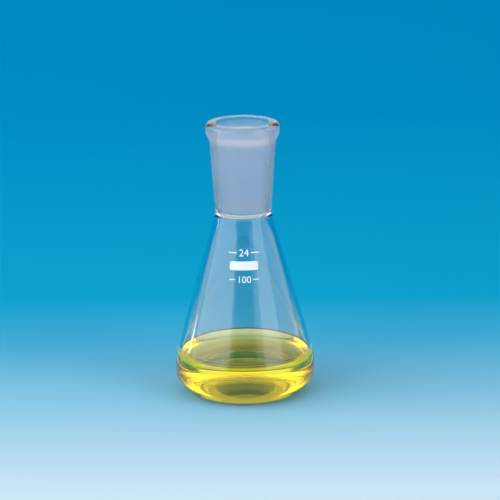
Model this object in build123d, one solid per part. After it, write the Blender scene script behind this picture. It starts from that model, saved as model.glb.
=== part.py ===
from build123d import *
from math import acos, atan2, cos, degrees, hypot, pi, radians, sin, sqrt, tan
import os

# A small conical laboratory flask, blown in one piece from borosilicate glass, with a
# ground 24/40 socket for a neck, and the yellow solution that rests in it.
# Millimetres, +Z up. The axis of the flask is Z, and z = 0 is the surface it stands on.

# Standard ground socket: widest bore, length of the ground zone, taper on the diameter
socket_bore = 24.0
ground_length = 40.0
socket_taper = 1 / 10
lip_height = 0.3  # clear glass between the ground zone and the rim
ground_runout = 0.5  # clear glass between the ground zone and the turn into the body

# Body
total_height = 126.5
body_radius = 32.0  # widest circle, just above the heel
heel_radius = 10.7  # turn of the wall into the base
shoulder_radius = 46.5  # slow turn of the wall from the heel into the cone
flare_radius = 88.0  # slow inward curve at the top of the cone
flare_top_slope = 10.0  # degrees from upright, where the cone meets the neck
body_wall = 1.6
base_wall = 2.2
base_rise = 1.5  # the base is dished upwards, so the flask stands on a ring
foot_width = 1.5  # flat of that ring

# Neck: glass round the socket, thicker than the body's, with a groove at its foot
neck_foot_wall = 2.9
neck_top_wall = 3.5
groove_drop = 1.9  # from the foot of the ground zone down to the groove
groove_depth = 0.5
groove_height = 2.6  # from the cone's top to the neck's full width
cone_top_step = 0.6  # the cone's top is this much wider than the neck's foot
collar_run = 0.7  # short straight run on each side of the wall below the groove

# Bead round the mouth
bead_height = 8.4
bead_slope_height = 3.5
bead_proud = 1.8

# Rounded corners of the neck, outside and then inside
collar_round = 0.9
groove_round = 0.9
neck_foot_round = 1.2
bead_root_round = 5.0
bead_shoulder_round = 4.0
rim_outer_round = 1.95
rim_inner_round = 1.1
socket_foot_round = 1.0
inner_collar_round = 2.0

# Solution: its flat level, and how it climbs the glass all round
liquid_level = 18.0
meniscus_rise = 2.7
meniscus_turn = 72.0  # degrees between the flat surface and its edge on the glass

# Heights along the neck
ground_top_z = total_height - lip_height
ground_foot_z = ground_top_z - ground_length
groove_z = ground_foot_z - groove_drop
cone_top_z = groove_z - groove_height / 2
neck_foot_z = groove_z + groove_height / 2
bead_root_z = total_height - bead_height
bead_shoulder_z = bead_root_z + bead_slope_height


def socket_radius(z):
    """Radius of the socket's tapered bore at height z."""
    return (socket_bore - (ground_top_z - z) * socket_taper) / 2


# Radii along the neck
neck_foot_radius = socket_radius(neck_foot_z) + neck_foot_wall
neck_top_radius = socket_radius(bead_root_z) + neck_top_wall
groove_radius = neck_foot_radius - groove_depth
cone_top_radius = neck_foot_radius + cone_top_step
bead_radius = neck_top_radius + bead_proud

# The shoulder's circle lies inside the wall, and the flare's circle outside it.
shoulder_centre = (body_radius - shoulder_radius, heel_radius)


def fitting_flare():
    """The wanted flare radius, or less on a cone too short for so slow a curve."""
    share_of_room = 0.8
    slope = radians(flare_top_slope)
    run = cone_top_radius - shoulder_centre[0]
    climb = cone_top_z - shoulder_centre[1]
    lean = shoulder_radius - run * cos(slope) - climb * sin(slope)
    if lean <= 0:
        return flare_radius
    largest = (run**2 + climb**2 - shoulder_radius**2) / (2 * lean)
    return min(flare_radius, share_of_room * largest)


# The straight cone is the line that touches both circles.
flare_reach = fitting_flare()
flare_centre = (
    cone_top_radius + flare_reach * cos(radians(flare_top_slope)),
    cone_top_z + flare_reach * sin(radians(flare_top_slope)),
)
centre_run = flare_centre[0] - shoulder_centre[0]
centre_climb = flare_centre[1] - shoulder_centre[1]
centre_distance = hypot(centre_run, centre_climb)
cone_angle = atan2(centre_climb, centre_run) - acos(
    (shoulder_radius + flare_reach) / centre_distance
)


def along(start, angle, distance):
    """The point at a distance from start, at an angle in radians from the R axis."""
    return (start[0] + distance * cos(angle), start[1] + distance * sin(angle))


def shoulder_end(depth):
    """Where the shoulder's arc runs into the straight cone, at a depth in the wall."""
    return along(shoulder_centre, cone_angle, shoulder_radius - depth)


def flare_start(depth):
    """Where the straight cone runs into the flare's arc, at a depth in the wall."""
    return along(flare_centre, cone_angle, -(flare_reach + depth))


def flare_end(depth):
    """The cone's top, at a depth in the wall."""
    return along(flare_centre, radians(flare_top_slope), -(flare_reach + depth))


def draw_base(wall_radius, turn_radius, floor_z):
    """Dished base and heel: a dome that turns smoothly into a flat ring and up to the wall."""
    heel_centre = (wall_radius - turn_radius, floor_z + turn_radius)
    dish_centre = (heel_centre[0] - foot_width, floor_z + turn_radius)
    centres_apart = (dish_centre[0] ** 2 + base_rise**2) / (2 * base_rise)
    dome_radius = centres_apart - turn_radius
    dome_centre = (0, floor_z + base_rise - dome_radius)
    touch = degrees(atan2(dish_centre[1] - dome_centre[1], dish_centre[0]))
    CenterArc(dome_centre, dome_radius, 90, touch - 90)
    CenterArc(dish_centre, turn_radius, touch - 180, 90 - touch)
    Line((dish_centre[0], floor_z), (heel_centre[0], floor_z))
    CenterArc(heel_centre, turn_radius, -90, 90)


def draw_side(depth):
    """Shoulder, straight cone and flare, at a depth in the wall."""
    CenterArc(shoulder_centre, shoulder_radius - depth, 0, degrees(cone_angle))
    Line(shoulder_end(depth), flare_start(depth))
    start = 180 + degrees(cone_angle)
    CenterArc(flare_centre, flare_reach + depth, start, flare_top_slope + 180 - start)


def draw_outer_wall():
    """Outside of the body, from the middle of the base to the cone's top."""
    draw_base(body_radius, heel_radius, 0)
    draw_side(0)


def draw_inner_wall():
    """Inside of the body, from the middle of the floor to the cone's top."""
    draw_base(body_radius - body_wall, heel_radius - base_wall, base_wall)
    draw_side(body_wall)


def fitting_radius(wanted, before, corner, after):
    """The wanted corner radius, or the largest that the corner's two sides have room for."""
    room = 0.45
    side_in = (corner[0] - before[0], corner[1] - before[1])
    side_out = (after[0] - corner[0], after[1] - corner[1])
    cross = side_in[0] * side_out[1] - side_in[1] * side_out[0]
    dot = side_in[0] * side_out[0] + side_in[1] * side_out[1]
    turn = abs(atan2(cross, dot))
    shorter = min(hypot(*side_in), hypot(*side_out))
    return min(wanted, room * shorter / tan(turn / 2))


def draw_neck():
    """Neck, bead, rim and socket, from the cone's top outside to its top inside."""
    upwards = radians(flare_top_slope) + pi / 2
    outside = flare_end(0)
    inside = flare_end(body_wall)
    socket_foot_z = ground_foot_z - ground_runout
    corners = [
        (along(outside, upwards, collar_run), collar_round),
        ((groove_radius, groove_z), groove_round),
        ((neck_foot_radius, neck_foot_z), neck_foot_round),
        ((neck_top_radius, bead_root_z), bead_root_round),
        ((bead_radius, bead_shoulder_z), bead_shoulder_round),
        ((bead_radius, total_height), rim_outer_round),
        ((socket_radius(total_height), total_height), rim_inner_round),
        ((socket_radius(socket_foot_z), socket_foot_z), socket_foot_round),
        (along(inside, upwards, collar_run / 2), inner_collar_round),
    ]
    points = [outside] + [point for point, wanted in corners] + [inside]
    radii = [
        fitting_radius(wanted, points[i], point, points[i + 2])
        for i, (point, wanted) in enumerate(corners)
    ]
    FilletPolyline(*points, radius=radii)


def inner_radius(z):
    """Radius of the body's inside at height z, above the heel."""
    if z < shoulder_end(body_wall)[1]:
        reach = shoulder_radius - body_wall
        return shoulder_centre[0] + sqrt(reach**2 - (z - shoulder_centre[1]) ** 2)
    if z < flare_start(body_wall)[1]:
        low = shoulder_end(body_wall)
        return low[0] - (z - low[1]) * tan(cone_angle)
    reach = flare_reach + body_wall
    return flare_centre[0] - sqrt(reach**2 - (z - flare_centre[1]) ** 2)


def make_flask():
    """The whole glass: one closed profile turned round the axis."""
    with BuildPart() as flask:
        with BuildSketch(Plane.XZ):
            with BuildLine():
                draw_outer_wall()
                draw_neck()
                draw_inner_wall()
                Line((0, base_rise), (0, base_wall + base_rise))
            make_face()
        revolve(axis=Axis.Z)
    return flask.part


def make_liquid():
    """The solution: the flask's inside up to a flat level with a meniscus at the glass."""
    top = flare_end(body_wall)
    turn = radians(meniscus_turn)
    curve_radius = meniscus_rise / (1 - cos(turn))
    edge_z = liquid_level + meniscus_rise
    edge_radius = inner_radius(edge_z)
    flat_radius = edge_radius - curve_radius * sin(turn)
    beyond = edge_radius + body_wall
    with BuildPart() as liquid:
        with BuildSketch(Plane.XZ):
            with BuildLine():
                draw_inner_wall()
                Line(top, (0, top[1]))
                Line((0, top[1]), (0, base_wall + base_rise))
            make_face()
            with BuildLine():
                Line((0, liquid_level), (flat_radius, liquid_level))
                CenterArc((flat_radius, liquid_level + curve_radius), curve_radius, -90, meniscus_turn)
                Polyline(
                    (edge_radius, edge_z),
                    (beyond, edge_z),
                    (beyond, total_height),
                    (0, total_height),
                    (0, liquid_level),
                )
            make_face(mode=Mode.SUBTRACT)
        revolve(axis=Axis.Z)
    return liquid.part


os.makedirs("parts", exist_ok=True)
export_step(make_flask(), "parts/flask.step")
export_step(make_liquid(), "parts/liquid.step")
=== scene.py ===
import bmesh
import bpy
from math import acos, asin, atan2, ceil, cos, degrees, hypot, pi, radians, sin, tan
from mathutils import Matrix, Vector


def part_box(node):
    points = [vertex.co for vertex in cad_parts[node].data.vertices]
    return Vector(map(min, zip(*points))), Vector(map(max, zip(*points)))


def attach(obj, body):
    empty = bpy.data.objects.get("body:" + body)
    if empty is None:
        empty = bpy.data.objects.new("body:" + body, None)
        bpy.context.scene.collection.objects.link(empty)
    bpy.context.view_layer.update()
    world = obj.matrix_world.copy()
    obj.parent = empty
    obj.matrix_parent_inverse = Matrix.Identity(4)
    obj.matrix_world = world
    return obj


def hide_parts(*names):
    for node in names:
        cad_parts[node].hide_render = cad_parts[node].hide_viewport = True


# A small conical laboratory flask of clear borosilicate glass, with a ground socket for
# a neck, a little yellow solution in it, and white enamel marks fired on the cone.
# The sections are drawn in millimetres and brought to metres when a mesh is finished.

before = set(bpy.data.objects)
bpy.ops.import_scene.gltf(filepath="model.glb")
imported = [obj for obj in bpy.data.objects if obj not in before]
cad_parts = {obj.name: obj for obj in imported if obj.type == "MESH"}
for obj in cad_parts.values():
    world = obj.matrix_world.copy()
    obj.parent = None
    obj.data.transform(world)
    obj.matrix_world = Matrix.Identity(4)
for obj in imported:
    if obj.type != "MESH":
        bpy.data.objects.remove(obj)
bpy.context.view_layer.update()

metres = 0.001  # one millimetre
flask_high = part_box("flask")[1]
liquid_low, liquid_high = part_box("liquid")

# Standard ground socket
socket_bore = 24.0
ground_length = 40.0
socket_taper = 1 / 10
lip_height = 0.3
ground_runout = 0.5
ground_clearance = 0.1  # between the rim's rounded edge and the ground zone

# Body
total_height = flask_high.z / metres
body_radius = flask_high.x / metres
heel_radius = 10.7
shoulder_radius = 46.5
flare_radius = 88.0
flare_top_slope = 10.0
body_wall = body_radius - liquid_high.x / metres
base_wall = liquid_low.z / metres
base_rise = 1.5
foot_width = 1.5

# Neck and bead
neck_foot_wall = 2.9
neck_top_wall = 3.5
groove_drop = 1.9
groove_depth = 0.5
groove_height = 2.6
cone_top_step = 0.6
collar_run = 0.7
bead_height = 8.4
bead_slope_height = 3.5
bead_proud = 1.8
collar_round = 0.9
groove_round = 0.9
neck_foot_round = 1.2
bead_root_round = 5.0
bead_shoulder_round = 4.0
rim_outer_round = 1.95
rim_inner_round = 1.1
socket_foot_round = 1.0
inner_collar_round = 2.0
corner_room = 0.45  # the most that a rounded corner takes of the shorter side next to it

# Solution
meniscus_rise = 2.7
meniscus_turn = 72.0
edge_z = liquid_high.z / metres
wetting = 0.15  # the solution's skin lies this deep in the glass, so no air shows between

# Enamel marks on the front of the cone: height of the middle on the cone, then the mark's
# own height and width
size_mark = (69.7, 3.4, 14.0)
patch_mark = (64.0, 4.0, 13.0)
volume_mark = (58.0, 3.2, 13.6)
enamel_thickness = 0.08
enamel_sunk = 0.02  # how deep the enamel has melted into the glass
digit_share = 0.73  # a digit's height as a share of the font's size
number_gap = 1.0  # between a number and the rules beside it
rule_height = 0.45
rule_corner = rule_height / 3
patch_corner = 0.9

# Mesh
around = 192
slices = 16
run_step = 1.6  # length of one piece of a straight run
bend_step = 5.0  # degrees in one piece of a bend
enamel_step = 0.6  # width of one strip of a mark, where it is bent round the cone
corner_pieces = 4  # pieces in the corner of a flat mark
weld = 0.0005  # points closer than this are one point

# Heights and radii along the neck
ground_top_z = total_height - lip_height
ground_foot_z = ground_top_z - ground_length
groove_z = ground_foot_z - groove_drop
cone_top_z = groove_z - groove_height / 2
neck_foot_z = groove_z + groove_height / 2
bead_root_z = total_height - bead_height
bead_shoulder_z = bead_root_z + bead_slope_height
socket_foot_z = ground_foot_z - ground_runout


def socket_radius(z):
    """Radius of the socket's tapered bore at height z."""
    return (socket_bore - (ground_top_z - z) * socket_taper) / 2


neck_foot_radius = socket_radius(neck_foot_z) + neck_foot_wall
neck_top_radius = socket_radius(bead_root_z) + neck_top_wall
groove_radius = neck_foot_radius - groove_depth
cone_top_radius = neck_foot_radius + cone_top_step
bead_radius = neck_top_radius + bead_proud

# The straight cone touches the shoulder's circle and the flare's circle
shoulder_centre = (body_radius - shoulder_radius, heel_radius)
flare_centre = (
    cone_top_radius + flare_radius * cos(radians(flare_top_slope)),
    cone_top_z + flare_radius * sin(radians(flare_top_slope)),
)
centre_run = flare_centre[0] - shoulder_centre[0]
centre_climb = flare_centre[1] - shoulder_centre[1]
cone_angle = atan2(centre_climb, centre_run) - acos(
    (shoulder_radius + flare_radius) / hypot(centre_run, centre_climb)
)

# Light: how strongly each stuff bends it
glass_bending = 1.474
solution_bending = 1.333
enamel_bending = 1.5


def along(start, angle, distance):
    """The point at a distance from start, at an angle in radians from the R axis."""
    return (start[0] + distance * cos(angle), start[1] + distance * sin(angle))


def shoulder_end(depth):
    """Where the shoulder runs into the straight cone, at a depth in the wall."""
    return along(shoulder_centre, cone_angle, shoulder_radius - depth)


def flare_start(depth):
    """Where the straight cone runs into the flare, at a depth in the wall."""
    return along(flare_centre, cone_angle, -(flare_radius + depth))


def flare_end(depth):
    """The cone's top, at a depth in the wall."""
    return along(flare_centre, radians(flare_top_slope), -(flare_radius + depth))


def wetted_angle(depth):
    """Angle on the shoulder's circle at the height of the solution's edge, in degrees."""
    return degrees(asin((edge_z - shoulder_centre[1]) / (shoulder_radius - depth)))


def cone_radius(z):
    """Outside radius of the straight cone at height z."""
    low = shoulder_end(0)
    return low[0] - (z - low[1]) * tan(cone_angle)


class Pen:
    """Draws one stretch of a wall's section, as a row of edges in the plane of X and Z."""

    def __init__(self, start):
        self.bm = bmesh.new()
        self.tip = self.bm.verts.new((start[0], 0, start[1]))

    def place(self):
        """Where the tip is: its radius and its height."""
        return (self.tip.co.x, self.tip.co.z)

    def straight(self, goal):
        """Draws a straight run to the goal."""
        start = self.tip.co.copy()
        end = Vector((goal[0], 0, goal[1]))
        pieces = max(2, ceil((end - start).length / run_step))
        for i in range(pieces):
            self.tip = bmesh.ops.extrude_vert_indiv(self.bm, verts=[self.tip])["verts"][0]
            self.tip.co = start.lerp(end, (i + 1) / pieces)

    def bend(self, centre, turn):
        """Swings the tip round a centre, anticlockwise where the turn in degrees is positive."""
        radius = hypot(self.tip.co.x - centre[0], self.tip.co.z - centre[1])
        length = radius * radians(abs(turn))
        swung = bmesh.ops.spin(
            self.bm,
            geom=[self.tip],
            cent=(centre[0], 0, centre[1]),
            axis=(0, -1, 0),
            dvec=(0, 0, 0),
            angle=radians(turn),
            steps=max(2, ceil(abs(turn) / bend_step), ceil(length / run_step)),
            use_merge=False,
            use_normal_flip=False,
            use_duplicate=False,
        )
        self.tip = next(g for g in swung["geom_last"] if isinstance(g, bmesh.types.BMVert))

    def rounded(self, corners, end):
        """Straight runs through the corners to the end, each corner rounded to its radius."""
        points = [self.place()] + [point for point, wanted in corners] + [end]
        for i, (corner, wanted) in enumerate(corners):
            before = points[i]
            after = points[i + 2]
            way_in = atan2(corner[1] - before[1], corner[0] - before[0])
            way_out = atan2(after[1] - corner[1], after[0] - corner[0])
            turn = (way_out - way_in + pi) % (2 * pi) - pi
            shorter = min(
                hypot(corner[0] - before[0], corner[1] - before[1]),
                hypot(after[0] - corner[0], after[1] - corner[1]),
            )
            radius = min(wanted, corner_room * shorter / tan(abs(turn) / 2))
            self.straight(along(corner, way_in, -radius * tan(abs(turn) / 2)))
            side = pi / 2 if turn > 0 else -pi / 2
            self.bend(along(self.place(), way_in + side, radius), degrees(turn))
        self.straight(end)

    def turned(self, finish):
        """The stretch turned round the axis, as a skin of one finish: a slice, doubled till it closes."""
        bm = self.bm
        bmesh.ops.spin(
            bm,
            geom=list(bm.verts) + list(bm.edges),
            cent=(0, 0, 0),
            axis=(0, 0, 1),
            dvec=(0, 0, 0),
            angle=2 * pi / slices,
            steps=around // slices,
            use_merge=False,
            use_normal_flip=False,
            use_duplicate=False,
        )
        done = 1
        while done < slices:
            copied = bmesh.ops.duplicate(bm, geom=list(bm.faces))["geom"]
            bmesh.ops.rotate(
                bm,
                verts=[g for g in copied if isinstance(g, bmesh.types.BMVert)],
                cent=(0, 0, 0),
                matrix=Matrix.Rotation(2 * pi / slices * done, 3, "Z"),
            )
            done *= 2
        for face in bm.faces:
            face.material_index = finish
        return kept_as_skin(bm)


def kept_as_skin(bm):
    """The drawn faces as a mesh, for finished_piece to join."""
    skin = bpy.data.meshes.new("skin")
    bm.to_mesh(skin)
    bm.free()
    return skin


def finished_piece(name, skins, materials, smooth=True):
    """A mesh object at the origin, its skins joined, its faces outwards, in metres."""
    bm = bmesh.new()
    for skin in skins:
        bm.from_mesh(skin)
        bpy.data.meshes.remove(skin)
    bmesh.ops.remove_doubles(bm, verts=bm.verts, dist=weld)
    bmesh.ops.recalc_face_normals(bm, faces=bm.faces)
    bmesh.ops.scale(bm, vec=(metres, metres, metres), verts=bm.verts)
    for face in bm.faces:
        face.smooth = smooth
    mesh = bpy.data.meshes.new(name)
    bm.to_mesh(mesh)
    bm.free()
    for material in materials:
        mesh.materials.append(material)
    piece = bpy.data.objects.new(name, mesh)
    bpy.context.scene.collection.objects.link(piece)
    return piece


def base_circles(wall_radius, turn_radius, floor_z):
    """Centres of the heel, the dish and the dome, the dome's radius and the dish's turn."""
    heel = (wall_radius - turn_radius, floor_z + turn_radius)
    dish = (heel[0] - foot_width, heel[1])
    apart = (dish[0] ** 2 + base_rise**2) / (2 * base_rise)
    dome_radius = apart - turn_radius
    dome = (0, floor_z + base_rise - dome_radius)
    touch = degrees(atan2(dish[1] - dome[1], dish[0]))
    return heel, dish, dome, dome_radius, touch


def draw_base_outwards(wall_radius, turn_radius, floor_z):
    """Dome, dish, foot ring and heel, from the axis out to the upright wall."""
    heel, dish, dome, dome_radius, touch = base_circles(wall_radius, turn_radius, floor_z)
    pen = Pen((0, dome[1] + dome_radius))
    pen.bend(dome, touch - 90)
    pen.bend(dish, 90 - touch)
    pen.straight((heel[0], floor_z))
    pen.bend(heel, 90)
    return pen


def draw_base_inwards(pen, wall_radius, turn_radius, floor_z):
    """The same from the upright wall back to the axis."""
    heel, dish, dome, dome_radius, touch = base_circles(wall_radius, turn_radius, floor_z)
    pen.bend(heel, -90)
    pen.straight((dish[0], floor_z))
    pen.bend(dish, touch - 90)
    pen.bend(dome, 90 - touch)


def blow_flask(clear, ground, wetted):
    """The whole glass as one closed skin, in four stretches of its section."""
    upwards = radians(flare_top_slope) + pi / 2
    turn_in = degrees(cone_angle) - flare_top_slope

    # Outside: base, heel, shoulder, cone, flare, neck, bead and rim
    outside = draw_base_outwards(body_radius, heel_radius, 0)
    outside.bend(shoulder_centre, degrees(cone_angle))
    outside.straight(flare_start(0))
    outside.bend(flare_centre, -turn_in)
    rim_turn = pi / 2 - atan2(socket_taper, 2)
    rim_fall = rim_inner_round * tan(rim_turn / 2)
    ground_start_z = total_height - rim_fall - ground_clearance
    ground_start = (socket_radius(ground_start_z), ground_start_z)
    outside.rounded(
        [
            (along(flare_end(0), upwards, collar_run), collar_round),
            ((groove_radius, groove_z), groove_round),
            ((neck_foot_radius, neck_foot_z), neck_foot_round),
            ((neck_top_radius, bead_root_z), bead_root_round),
            ((bead_radius, bead_shoulder_z), bead_shoulder_round),
            ((bead_radius, total_height), rim_outer_round),
            ((socket_radius(total_height), total_height), rim_inner_round),
        ],
        ground_start,
    )

    # Inside: the ground zone
    ground_end = (socket_radius(ground_foot_z), ground_foot_z)
    socket = Pen(ground_start)
    socket.straight(ground_end)

    # Inside: clear glass down to the solution's edge
    dry = Pen(ground_end)
    dry.rounded(
        [
            ((socket_radius(socket_foot_z), socket_foot_z), socket_foot_round),
            (along(flare_end(body_wall), upwards, collar_run / 2), inner_collar_round),
        ],
        flare_end(body_wall),
    )
    dry.bend(flare_centre, turn_in)
    dry.straight(shoulder_end(body_wall))
    dry.bend(shoulder_centre, wetted_angle(body_wall) - degrees(cone_angle))

    # Inside: the wetted part, down to the middle of the floor
    wet = Pen(dry.place())
    wet.bend(shoulder_centre, -wetted_angle(body_wall))
    draw_base_inwards(wet, body_radius - body_wall, heel_radius - base_wall, base_wall)

    skins = [outside.turned(0), socket.turned(1), dry.turned(0), wet.turned(2)]
    return finished_piece("flask_glass", skins, [clear, ground, wetted])


def pour_solution(liquid):
    """The solution as one closed skin, from the middle of the floor to the middle of its top."""
    depth = body_wall - wetting
    pen = draw_base_outwards(
        body_radius - depth,
        heel_radius - base_wall + wetting,
        base_wall - wetting,
    )
    pen.bend(shoulder_centre, wetted_angle(depth))
    turn = radians(meniscus_turn)
    curve_radius = meniscus_rise / (1 - cos(turn))
    wall_edge = along(shoulder_centre, radians(wetted_angle(body_wall)), shoulder_radius - body_wall)
    flat_radius = wall_edge[0] - curve_radius * sin(turn)
    level = edge_z - meniscus_rise
    pen.straight(wall_edge)
    pen.bend((flat_radius, level + curve_radius), -meniscus_turn)
    pen.straight((0, level))
    return finished_piece("yellow_solution", [pen.turned(0)], [liquid])


def flat_bar(bm, left, right, height, corner):
    """Adds a flat plate of enamel with rounded corners, its middle line on the X axis."""
    high = height / 2
    outline = []
    for i, (x, y) in enumerate([(right, high), (left, high), (left, -high), (right, -high)]):
        inwards_x = -corner if x == right else corner
        inwards_y = -corner if y == high else corner
        for step in range(corner_pieces + 1):
            angle = radians(90 * i + 90 * step / corner_pieces)
            edge = along((x + inwards_x, y + inwards_y), angle, corner)
            outline.append(bm.verts.new((edge[0], edge[1], 0)))
    face = bm.faces.new(outline)
    raised = bmesh.ops.extrude_face_region(bm, geom=[face])["geom"]
    for g in raised:
        if isinstance(g, bmesh.types.BMVert):
            g.co.z += enamel_thickness


def flat_number(digits, height):
    """A number as a closed mesh, its middle at the origin, and half its width."""
    curve = bpy.data.curves.new("number", "FONT")
    curve.body = digits
    curve.size = height / digit_share
    curve.align_x = "CENTER"
    curve.align_y = "CENTER"
    curve.extrude = enamel_thickness / 2
    curve.resolution_u = 4
    lettering = bpy.data.objects.new("number", curve)
    mesh = bpy.data.meshes.new_from_object(lettering)
    bpy.data.objects.remove(lettering)
    bpy.data.curves.remove(curve)
    bm = bmesh.new()
    bm.from_mesh(mesh)
    bpy.data.meshes.remove(mesh)
    bmesh.ops.remove_doubles(bm, verts=bm.verts, dist=weld)
    low = min(v.co.y for v in bm.verts)
    high = max(v.co.y for v in bm.verts)
    bmesh.ops.translate(bm, verts=bm.verts, vec=(0, -(low + high) / 2, enamel_thickness / 2))
    return bm, max(v.co.x for v in bm.verts)


def bent_on_cone(bm, middle_z):
    """Lays a flat mark on the front of the cone, its middle at a height, and gives its skin."""
    edge = max(abs(v.co.x) for v in bm.verts)
    strips = ceil(2 * edge / enamel_step)
    for i in range(1, strips):
        cut = -edge + 2 * edge * i / strips
        everything = list(bm.verts) + list(bm.edges) + list(bm.faces)
        bmesh.ops.bisect_plane(bm, geom=everything, plane_co=(cut, 0, 0), plane_no=(1, 0, 0))
    bmesh.ops.triangulate(bm, faces=bm.faces)
    for v in bm.verts:
        proud = v.co.z - enamel_sunk
        skin_z = middle_z + v.co.y * cos(cone_angle)
        radius = cone_radius(skin_z) + proud * cos(cone_angle)
        turn = v.co.x / cone_radius(middle_z)
        v.co = (radius * sin(turn), -radius * cos(turn), skin_z + proud * sin(cone_angle))
    return kept_as_skin(bm)


def number_between_rules(digits, mark):
    """A plain number with a thin rule on each side of it."""
    middle_z, height, width = mark
    bm, half_number = flat_number(digits, height)
    inner_end = half_number + number_gap
    flat_bar(bm, -width / 2, -inner_end, rule_height, rule_corner)
    flat_bar(bm, inner_end, width / 2, rule_height, rule_corner)
    return bent_on_cone(bm, middle_z)


def patch_to_write_on(mark):
    """A blank plate of enamel."""
    middle_z, height, width = mark
    bm = bmesh.new()
    flat_bar(bm, -width / 2, width / 2, height, patch_corner)
    return bent_on_cone(bm, middle_z)


def fire_marks(enamel):
    """The white marks: the socket's size, a patch to write on and the volume."""
    skins = [
        number_between_rules("24", size_mark),
        patch_to_write_on(patch_mark),
        number_between_rules("100", volume_mark),
    ]
    return finished_piece("enamel_marks", skins, [enamel], smooth=False)


def linear(red, green, blue):
    """A colour given as 0 to 255 display values, in the linear light that Blender works in."""
    def channel(value):
        share = value / 255
        return share / 12.92 if share <= 0.04045 else ((share + 0.055) / 1.055) ** 2.4
    return (channel(red), channel(green), channel(blue), 1.0)


def scaled(colour, times):
    """A colour made lighter or darker."""
    return tuple(min(1.0, part * times) for part in colour[:3]) + (1.0,)


def smooth_share(tree, value, low, high):
    """A node output that goes smoothly from 0 at low to 1 at high. Low may be the larger one."""
    share = tree.nodes.new("ShaderNodeMapRange")
    share.interpolation_type = "SMOOTHSTEP"
    share.inputs["From Min"].default_value = min(low, high)
    share.inputs["From Max"].default_value = max(low, high)
    if low > high:
        share.inputs["To Min"].default_value = 1.0
        share.inputs["To Max"].default_value = 0.0
    tree.links.new(value, share.inputs["Value"])
    return share.outputs["Result"]


def reckon(tree, operation, first, second=None):
    """A node output worked out from one or two outputs or numbers."""
    node = tree.nodes.new("ShaderNodeMath")
    node.operation = operation
    for socket, value in zip(node.inputs, (first, second)):
        if isinstance(value, (int, float)):
            socket.default_value = value
        elif value is not None:
            tree.links.new(value, socket)
    return node.outputs[0]


def all_of(tree, shares):
    """A node output that is 1 only where each of the shares is 1."""
    together = shares[0]
    for share in shares[1:]:
        together = reckon(tree, "MULTIPLY", together, share)
    return together


def mixed_colour(tree, share, first, second):
    """A colour output between two colours or colour outputs."""
    mix = tree.nodes.new("ShaderNodeMix")
    mix.data_type = "RGBA"
    tree.links.new(share, mix.inputs["Factor"])
    for socket, colour in (("A", first), ("B", second)):
        target = next(i for i in mix.inputs if i.name == socket and i.type == "RGBA")
        if isinstance(colour, tuple):
            target.default_value = colour
        else:
            tree.links.new(colour, target)
    return next(o for o in mix.outputs if o.type == "RGBA")


def fine_relief_group():
    """A shared effect: soft noise over the object as a height. Scale is in waves to a metre."""
    group = bpy.data.node_groups.new("fine_relief", "ShaderNodeTree")
    scale = group.interface.new_socket("Scale", in_out="INPUT", socket_type="NodeSocketFloat")
    detail = group.interface.new_socket("Detail", in_out="INPUT", socket_type="NodeSocketFloat")
    group.interface.new_socket("Height", in_out="OUTPUT", socket_type="NodeSocketFloat")
    scale.default_value = 40.0
    detail.default_value = 1.0
    inside = group.nodes.new("NodeGroupInput")
    outside = group.nodes.new("NodeGroupOutput")
    place = group.nodes.new("ShaderNodeTexCoord")
    noise = group.nodes.new("ShaderNodeTexNoise")
    group.links.new(place.outputs["Object"], noise.inputs["Vector"])
    group.links.new(inside.outputs["Scale"], noise.inputs["Scale"])
    group.links.new(inside.outputs["Detail"], noise.inputs["Detail"])
    group.links.new(noise.outputs["Fac"], outside.inputs["Height"])
    return group


fine_relief = fine_relief_group()


def add_relief(material, scale, detail, depth, strength):
    """Puts the shared relief on a material. The depth is in metres."""
    tree = material.node_tree
    relief = tree.nodes.new("ShaderNodeGroup")
    relief.node_tree = fine_relief
    relief.inputs["Scale"].default_value = scale
    relief.inputs["Detail"].default_value = detail
    bump = tree.nodes.new("ShaderNodeBump")
    bump.inputs["Distance"].default_value = depth
    bump.inputs["Strength"].default_value = strength
    tree.links.new(relief.outputs["Height"], bump.inputs["Height"])
    tree.links.new(bump.outputs["Normal"], tree.nodes["Principled BSDF"].inputs["Normal"])
    return relief


def bare_shader(name):
    """A new material with its Principled shader."""
    material = bpy.data.materials.new(name)
    material.use_nodes = True
    return material, material.node_tree.nodes["Principled BSDF"]


def see_through(name, tint, roughness, bending):
    """A new material that light goes through, with its Principled shader."""
    material, shader = bare_shader(name)
    shader.inputs["Base Color"].default_value = tint
    shader.inputs["Transmission Weight"].default_value = 1.0
    shader.inputs["Roughness"].default_value = roughness
    shader.inputs["IOR"].default_value = bending
    return material, shader


def clear_glass():
    """Blown borosilicate glass, its surface very slightly wavy."""
    tint = (0.93, 0.93, 0.95, 1.0)
    material, shader = see_through("clear_borosilicate_glass", tint, 0.0, glass_bending)
    add_relief(material, scale=90.0, detail=1.0, depth=0.0001, strength=0.15)
    return material


def wetted_glass():
    """Glass with the solution on it, where hardly any light is thrown back."""
    tint = (1.0, 1.0, 1.0, 1.0)
    material, shader = see_through("wetted_borosilicate_glass", tint, 0.0, glass_bending)
    shader.inputs["Specular Tint"].default_value = (0.0, 0.0, 0.0, 1.0)
    return material


def ground_glass():
    """The ground zone of the socket: a rough skin, a tenth of it matt, tinted bluish to paint in the blue
    light of the room around it.
    """
    # The bluish tint is painted light: it stands in for the blue of the room that the rough skin
    # scatters.
    tint = (0.84, 0.88, 1.0, 1.0)
    material, shader = see_through("ground_borosilicate_glass", tint, 0.6, glass_bending)
    shader.inputs["Transmission Weight"].default_value = 0.9
    add_relief(material, scale=3500.0, detail=2.0, depth=0.00002, strength=0.4)
    return material


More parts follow.
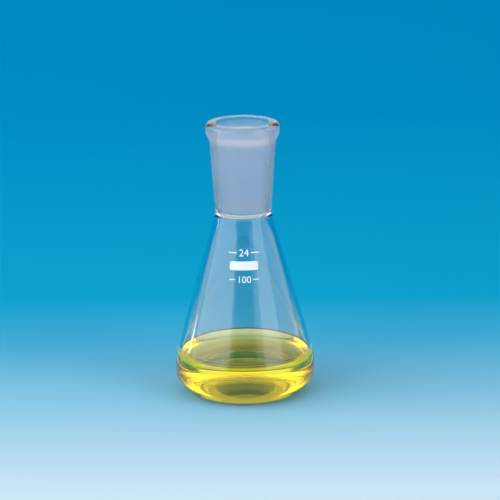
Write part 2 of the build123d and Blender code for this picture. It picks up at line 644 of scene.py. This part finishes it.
def solution_material():
    """A clear yellow solution that takes blue light away with depth."""
    tint = (1.0, 1.0, 1.0, 1.0)
    material, shader = see_through("clear_yellow_solution", tint, 0.0, solution_bending)
    tree = material.node_tree
    depth = tree.nodes.new("ShaderNodeVolumeAbsorption")
    depth.inputs["Color"].default_value = (0.989, 0.933, 0.04, 1.0)
    depth.inputs["Density"].default_value = 75.0
    tree.links.new(depth.outputs["Volume"], tree.nodes["Material Output"].inputs["Volume"])
    return material


def white_enamel():
    """Fired white enamel: matt, grainy and a little uneven in colour."""
    material, shader = bare_shader("white_enamel")
    shader.inputs["Roughness"].default_value = 0.55
    shader.inputs["IOR"].default_value = enamel_bending
    relief = add_relief(material, scale=2600.0, detail=3.0, depth=0.00003, strength=0.5)
    tree = material.node_tree
    bluish, bright = linear(205, 220, 232), linear(246, 250, 252)
    tint = mixed_colour(tree, relief.outputs["Height"], bluish, bright)
    tree.links.new(tint, shader.inputs["Base Color"])
    return material


# The paper's colour by the distance behind the flask, in metres. The far stops are lighter
# than they look, because less light falls there.
paper_stops = [
    (-0.5, linear(238, 243, 247)),
    (-0.14, linear(204, 230, 247)),
    (-0.02, linear(140, 203, 233)),
    (0.077, linear(70, 177, 221)),
    (0.15, linear(15, 167, 214)),
    (0.6, scaled(linear(0, 142, 199), 1.2)),
    (1.0, scaled(linear(0, 138, 195), 1.4)),
]
paper_front, paper_back = -0.5, 1.5
paper_size = 5.0  # half the floor's side

# A painted pool of light, standing in for the light that the solution throws on the paper: an ellipse
# behind the flask, in metres
painted_pool_colour = (0.62, 0.77, 0.42, 1.0)
pool_middle = 0.035
pool_narrowing = 1.9
pool_full, pool_end = 0.056, 0.068  # half its length, to where it starts to fade and is gone


def graduated_colour(tree, distance):
    """The paper's colour by the distance behind the flask."""
    reach = tree.nodes.new("ShaderNodeMapRange")
    reach.inputs["From Min"].default_value = paper_front
    reach.inputs["From Max"].default_value = paper_back
    ramp = tree.nodes.new("ShaderNodeValToRGB")
    colours = ramp.color_ramp.elements
    colours.remove(colours[1])
    for i, (y, colour) in enumerate(paper_stops):
        share = (y - paper_front) / (paper_back - paper_front)
        stop = colours[0] if i == 0 else colours.new(share)
        stop.position = share
        stop.color = colour
    tree.links.new(distance, reach.inputs["Value"])
    tree.links.new(reach.outputs["Result"], ramp.inputs["Fac"])
    return ramp.outputs["Color"]


def painted_pool_share(tree, place):
    """1 in the painted pool of light under the solution, where it is seen through the glass."""
    pool = tree.nodes.new("ShaderNodeMapping")
    pool.inputs["Location"].default_value = (0.0, -pool_middle, 0.0)
    pool.inputs["Scale"].default_value = (pool_narrowing, 1.0, 1.0)
    tree.links.new(place, pool.inputs["Vector"])
    from_middle = tree.nodes.new("ShaderNodeVectorMath")
    from_middle.operation = "LENGTH"
    tree.links.new(pool.outputs["Vector"], from_middle.inputs[0])
    inside = smooth_share(tree, from_middle.outputs["Value"], pool_end, pool_full)
    path = tree.nodes.new("ShaderNodeLightPath")
    return all_of(tree, [inside, path.outputs["Is Transmission Ray"]])


def lay_floor():
    """A plain floor of paper, pale in front and sky blue behind the flask, with a painted pool of light
    under and just behind it, which shows only through the glass.
    """
    bm = bmesh.new()
    bmesh.ops.create_grid(bm, x_segments=1, y_segments=1, size=paper_size)
    mesh = bpy.data.meshes.new("paper_floor")
    bm.to_mesh(mesh)
    bm.free()
    floor = bpy.data.objects.new("paper_floor", mesh)
    bpy.context.scene.collection.objects.link(floor)
    material, shader = bare_shader("graduated_paper")
    shader.inputs["Roughness"].default_value = 1.0
    shader.inputs["Specular IOR Level"].default_value = 0.0
    tree = material.node_tree
    place = tree.nodes.new("ShaderNodeTexCoord")
    split = tree.nodes.new("ShaderNodeSeparateXYZ")
    tree.links.new(place.outputs["Object"], split.inputs[0])
    paper = graduated_colour(tree, split.outputs["Y"])
    pool = painted_pool_share(tree, place.outputs["Object"])
    # Painted light: inside the painted pool the paper takes the pool's colour, for rays through the glass
    # only
    tree.links.new(mixed_colour(tree, pool, paper, painted_pool_colour), shader.inputs["Base Color"])
    mesh.materials.append(material)
    return floor


# The room that a mirror or glass sees in the world
pale_room = (1.0, 0.97, 0.93, 1.0)
blue_behind = (0.02, 0.16, 0.3, 1.0)
low_window = (1.3, 1.25, 1.1, 1.0)
high_window = (0.6, 0.6, 0.55, 1.0)
window_bar = (0.06, 0.13, 0.16, 1.0)
camera_shade = (0.15, 0.17, 0.2, 1.0)
ceiling = (0.3, 0.3, 0.3, 1.0)
side_windows = (1.6, 1.42, 1.45, 1.0)
flank_windows = (3.4, 3.2, 3.3, 1.0)
mirrored_ceiling = (1.3, 1.3, 1.3, 1.0)
flank_share_ahead = 0.4  # how much of the flank windows shows straight ahead as well


def room_colour(tree, path):
    """The room by direction: back is -1 to 1 away from the camera, height 0 is level and 1 is up."""
    place = tree.nodes.new("ShaderNodeTexCoord")
    split = tree.nodes.new("ShaderNodeSeparateXYZ")
    tree.links.new(place.outputs["Generated"], split.inputs[0])
    aside = reckon(tree, "ABSOLUTE", split.outputs["X"])
    back = split.outputs["Y"]
    height = split.outputs["Z"]
    through_glass = path.outputs["Is Transmission Ray"]
    in_mirror = path.outputs["Is Glossy Ray"]

    def share(value, low, high):
        return smooth_share(tree, value, low, high)

    behind = share(back, 0.5, 0.65)
    overhead = share(height, 0.8, 0.9)
    window = mixed_colour(tree, share(height, 0.0, 0.3), low_window, high_window)
    flanks = reckon(tree, "MAXIMUM", share(aside, 0.36, 0.44), flank_share_ahead)

    # Each zone lies over those before it
    zones = [
        ([behind], blue_behind),
        ([behind, share(aside, 0.45, 0.35), share(height, 0.6, 0.45)], window),
        (
            [behind, share(aside, 0.2, 0.19), share(height, 0.28, 0.288), share(height, 0.37, 0.362)],
            window_bar,
        ),
        ([share(back, -0.8, -0.9), share(height, 0.5, 0.3)], camera_shade),
        ([overhead], ceiling),
        (
            [
                share(back, 0.1, -0.1),
                share(height, 0.1, 0.2),
                share(height, 0.85, 0.8),
                share(aside, 0.3, 0.4),
                through_glass,
            ],
            side_windows,
        ),
        (
            [
                share(height, 0.36, 0.44),
                share(height, 0.76, 0.7),
                flanks,
                share(back, 0.25, 0.15),
                in_mirror,
            ],
            flank_windows,
        ),
        ([overhead, in_mirror], mirrored_ceiling),
    ]
    room = pale_room
    for shares, colour in zones:
        room = mixed_colour(tree, all_of(tree, shares), room, colour)
    return room


def light_world():
    """Plain soft light from all round, and the room for what the camera, a mirror or glass sees."""
    world = bpy.data.worlds.new("studio")
    bpy.context.scene.world = world
    world.use_nodes = True
    tree = world.node_tree
    soft = tree.nodes["Background"]
    soft.inputs["Color"].default_value = (0.95, 0.97, 0.97, 1.0)
    soft.inputs["Strength"].default_value = 0.48
    seen = tree.nodes.new("ShaderNodeBackground")
    seen.inputs["Strength"].default_value = 1.0
    path = tree.nodes.new("ShaderNodeLightPath")
    tree.links.new(room_colour(tree, path), seen.inputs["Color"])
    mirrored = reckon(tree, "MAXIMUM", path.outputs["Is Camera Ray"], path.outputs["Is Glossy Ray"])
    watched = reckon(tree, "MAXIMUM", mirrored, path.outputs["Is Transmission Ray"])
    mix = tree.nodes.new("ShaderNodeMixShader")
    tree.links.new(watched, mix.inputs[0])
    tree.links.new(soft.outputs[0], mix.inputs[1])
    tree.links.new(seen.outputs[0], mix.inputs[2])
    tree.links.new(mix.outputs[0], tree.nodes["World Output"].inputs["Surface"])


lamp_aim = Vector((0, 0, 0.05))
lamp_distance = 1.3


def hang_soft_box(name, azimuth, distance, height, size, brightness):
    """A soft box that faces the flask. Azimuth is in degrees from the camera's side, to the right."""
    width, tall = size
    lamp = bpy.data.lights.new(name, "AREA")
    lamp.shape = "RECTANGLE"
    lamp.size = width
    lamp.size_y = tall
    lamp.energy = brightness * pi * width * tall
    box = bpy.data.objects.new(name, lamp)
    bpy.context.scene.collection.objects.link(box)
    side = radians(azimuth)
    box.location = (distance * sin(side), -distance * cos(side), height)
    towards = lamp_aim - box.location
    box.rotation_euler = towards.to_track_quat("-Z", "Y").to_euler()
    box.visible_camera = False
    box.visible_transmission = False
    return box


# The camera's place in metres, and how it is turned, in degrees
camera_place = (0, -1.228, 0.396)
camera_down = 15.02
camera_right = 0.132
camera_lean = 0.626
lens_length = 199.7
sensor_width = 36.0


def set_camera():
    """The photograph's view: a long lens, looking down a little on the flask."""
    lens = bpy.data.cameras.new("photo_camera")
    lens.sensor_width = sensor_width
    lens.lens = lens_length
    lens.clip_start = 0.05
    lens.clip_end = 20.0
    camera = bpy.data.objects.new("photo_camera", lens)
    bpy.context.scene.collection.objects.link(camera)
    camera.matrix_world = (
        Matrix.Translation(camera_place)
        @ Matrix.Rotation(-radians(camera_right), 4, "Z")
        @ Matrix.Rotation(pi / 2 - radians(camera_down), 4, "X")
        @ Matrix.Rotation(-radians(camera_lean), 4, "Z")
    )
    bpy.context.scene.camera = camera


flask = blow_flask(clear_glass(), ground_glass(), wetted_glass())
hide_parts("flask")
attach(flask, "root")

solution = pour_solution(solution_material())
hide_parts("liquid")
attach(solution, "root")

marks = fire_marks(white_enamel())
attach(marks, "root")

lay_floor()
light_world()
hang_soft_box("left_soft_box", -65, lamp_distance, height=0.6, size=(2.18, 1.3), brightness=2.0)
hang_soft_box("right_soft_box", 52, lamp_distance, height=0.6, size=(0.9, 1.3), brightness=2.0)
hang_soft_box("left_strip_lamp", -110, lamp_distance, height=0.045, size=(0.1, 0.07), brightness=8.0)
hang_soft_box("top_soft_box", 0, 0.1, height=1.5, size=(1.4, 1.4), brightness=0.6)
set_camera()

scene = bpy.context.scene
scene.view_settings.view_transform = "Standard"
scene.cycles.max_bounces = 32
scene.cycles.transmission_bounces = 32
scene.cycles.glossy_bounces = 8
